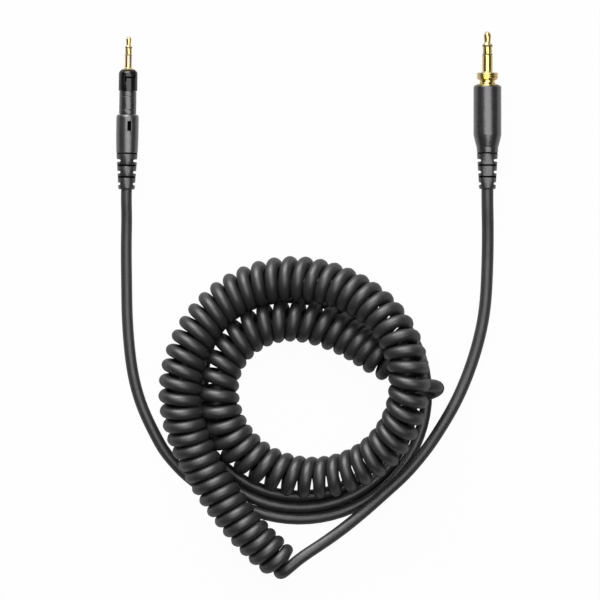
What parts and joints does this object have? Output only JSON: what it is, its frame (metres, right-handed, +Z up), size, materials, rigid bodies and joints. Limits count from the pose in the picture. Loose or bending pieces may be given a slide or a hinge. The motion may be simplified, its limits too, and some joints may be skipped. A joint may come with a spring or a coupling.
{
  "type": "coiled headphone cable",
  "caption": "Curly stereo audio cable coiled flat, with straight ends, a small locking plug on one end and a larger plug with a threaded collar on the other.",
  "frame": {"origin": "on the table, below the middle of the whole cable's box", "axes": "+Z up from the table, +Y the way both plugs point, +X from the locking plug to the larger plug"},
  "size_m": [0.1314, 0.1863, 0.0322],
  "materials": {
    "gold": "polished gold plating",
    "insulator": "satin",
    "gloss": "gloss",
    "shell": "satin",
    "relief": "matte",
    "jacket": "satin",
    "wire_red": "satin",
    "wire_white": "satin",
    "wire_copper": "bare copper"
  },
  "bodies": {
    "root": {"main_plug_tip_contact": "gold", "main_plug_tip_insulator": "insulator", "main_plug_ring_contact": "gold", "main_plug_ring_insulator": "insulator", "main_plug_sleeve_contact": "gold", "main_plug_shell": "shell", "main_plug_strain_relief": "relief", "main_plug_jacket_end": "jacket", "main_plug_tip_wire": "wire_red", "main_plug_ring_wire": "wire_white", "main_plug_ground_wire": "wire_copper", "lock_plug_tip_contact": "gold", "lock_plug_tip_insulator": "insulator", "lock_plug_ring_contact": "gold", "lock_plug_ring_insulator": "insulator", "lock_plug_sleeve_contact": "gold", "lock_plug_locking_collar": "gloss", "lock_plug_neck_barrel": "gloss", "lock_plug_shell": "shell", "lock_plug_strain_relief": "relief", "lock_plug_jacket_end": "jacket", "lock_plug_tip_wire": "wire_red", "lock_plug_ring_wire": "wire_white", "lock_plug_ground_wire": "wire_copper", "main_cord": "jacket", "curls": "jacket", "flat_loops": "jacket", "lock_cord": "jacket"}
  },
  "joints": []
}
